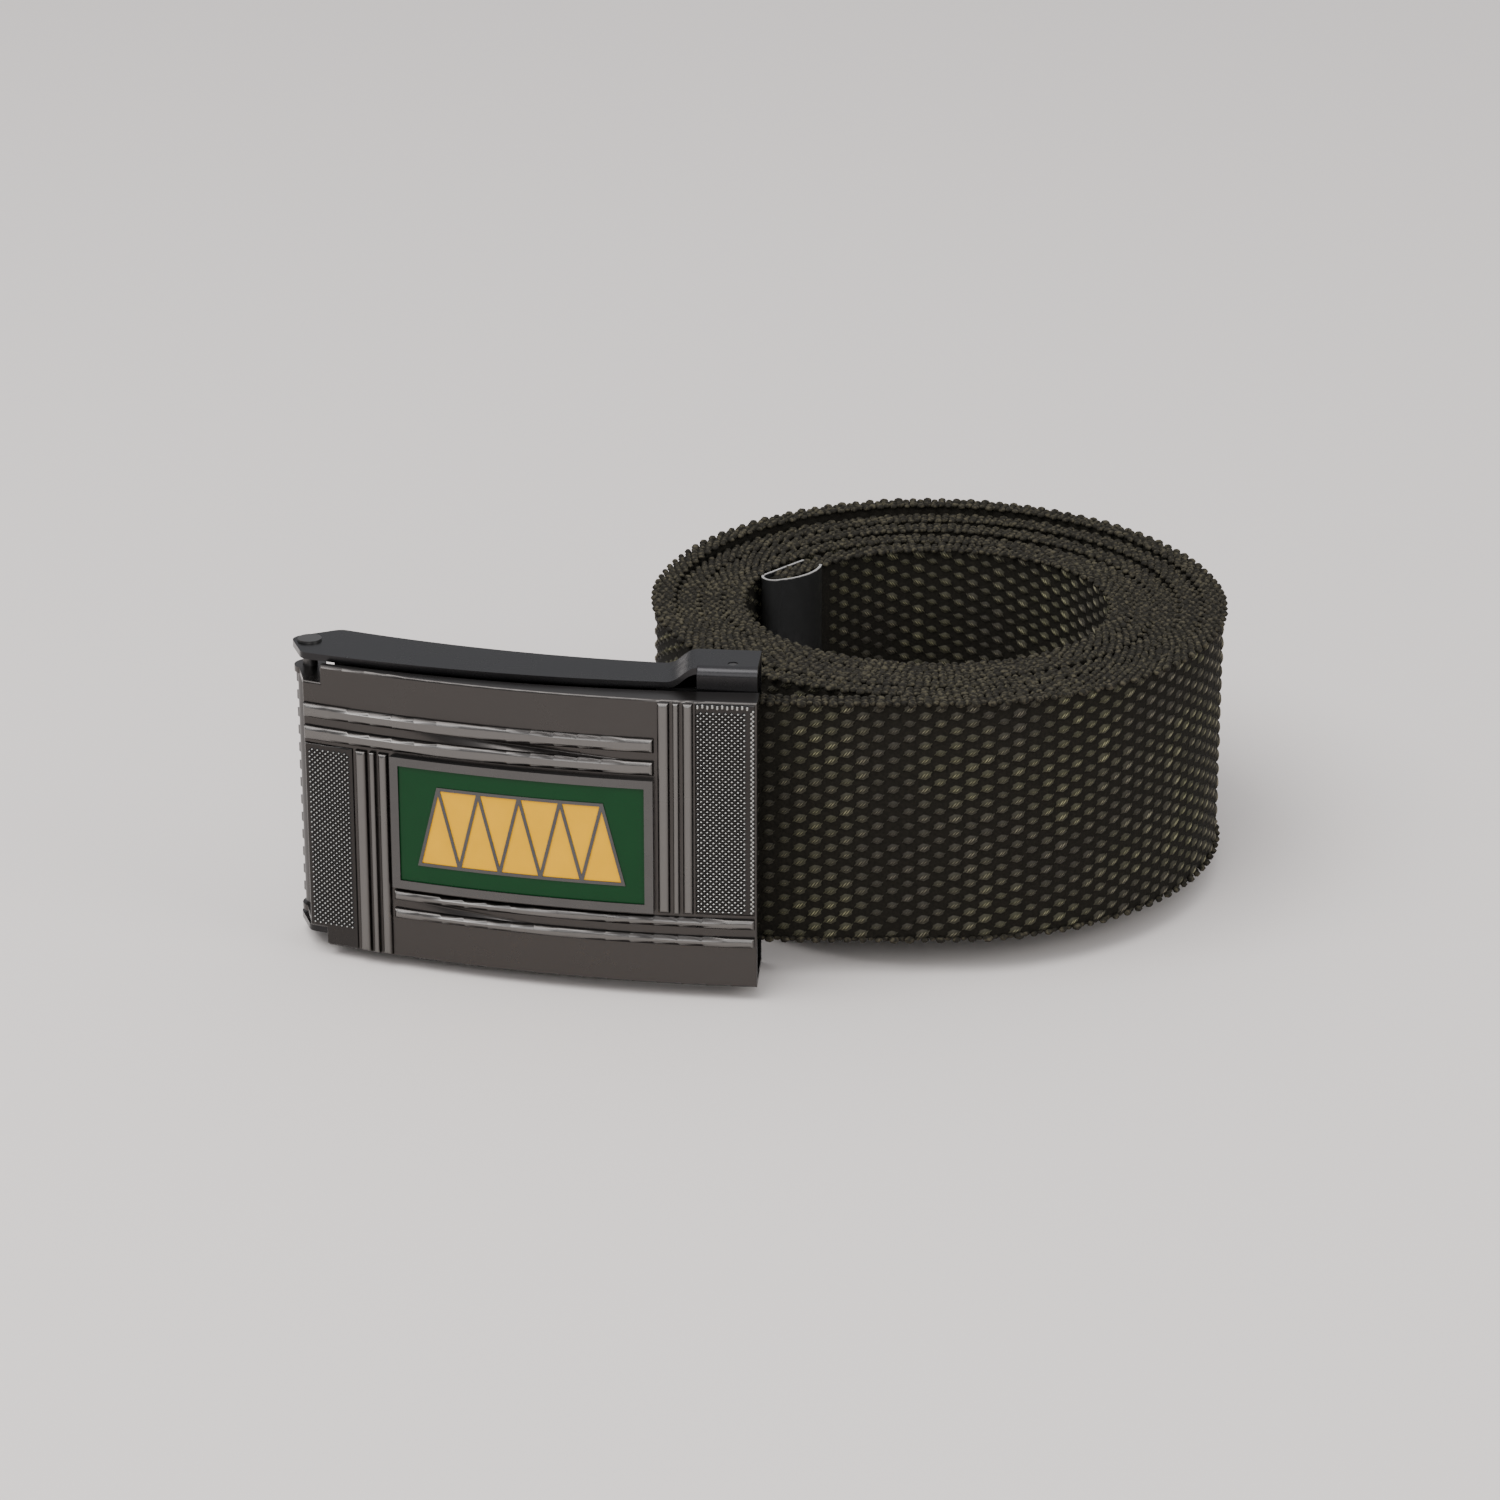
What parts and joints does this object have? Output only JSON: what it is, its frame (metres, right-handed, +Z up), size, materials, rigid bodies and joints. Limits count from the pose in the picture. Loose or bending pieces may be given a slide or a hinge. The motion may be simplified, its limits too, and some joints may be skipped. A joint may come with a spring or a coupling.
{
  "type": "rolled webbing belt",
  "caption": "Woven webbing belt with a flip-top clamp buckle, rolled up on its edge, with a metal tip on the free end.",
  "frame": {"origin": "centre of the part's box, on the surface that it stands on", "axes": "+Z up, +X along the buckle's face towards the roll, +Y from the buckle to the back of the roll"},
  "size_m": [0.1416, 0.1008, 0.0498],
  "materials": {
    "webbing": "coarse woven, matt",
    "tip_black": "black lacquer, bare on the cut edges",
    "gunmetal": "polished black nickel plating, worn on the edges",
    "steel": "dull plated steel",
    "enamel_dark": "glossy enamel",
    "enamel_light": "glossy enamel"
  },
  "bodies": {
    "root": {"webbing": "webbing", "belt_tip": "tip_black", "buckle_frame": "gunmetal", "hinge_pin": "steel", "clamp_pin": "steel"},
    "cover": {"cover_plate": "gunmetal", "grip_cam": "steel", "badge_plate": "gunmetal", "enamel_ground": "enamel_dark", "enamel_motif": "enamel_light"},
    "clamp_lever": {"clamp_lever": "steel"}
  },
  "joints": [
    {"name": "cover_hinge", "type": "hinge", "parent": "root", "child": "cover", "pos_m": [-0.0681, -0.02375, 0.02437], "axis": [-0.0061, -0.0589, -0.9982], "range_deg": [0, 110]},
    {"name": "clamp_hinge", "type": "hinge", "parent": "root", "child": "clamp_lever", "pos_m": [-0.00509, -0.04126, 0.02502], "axis": [0.0061, 0.0589, 0.9982], "range_deg": [0, 16]}
  ]
}
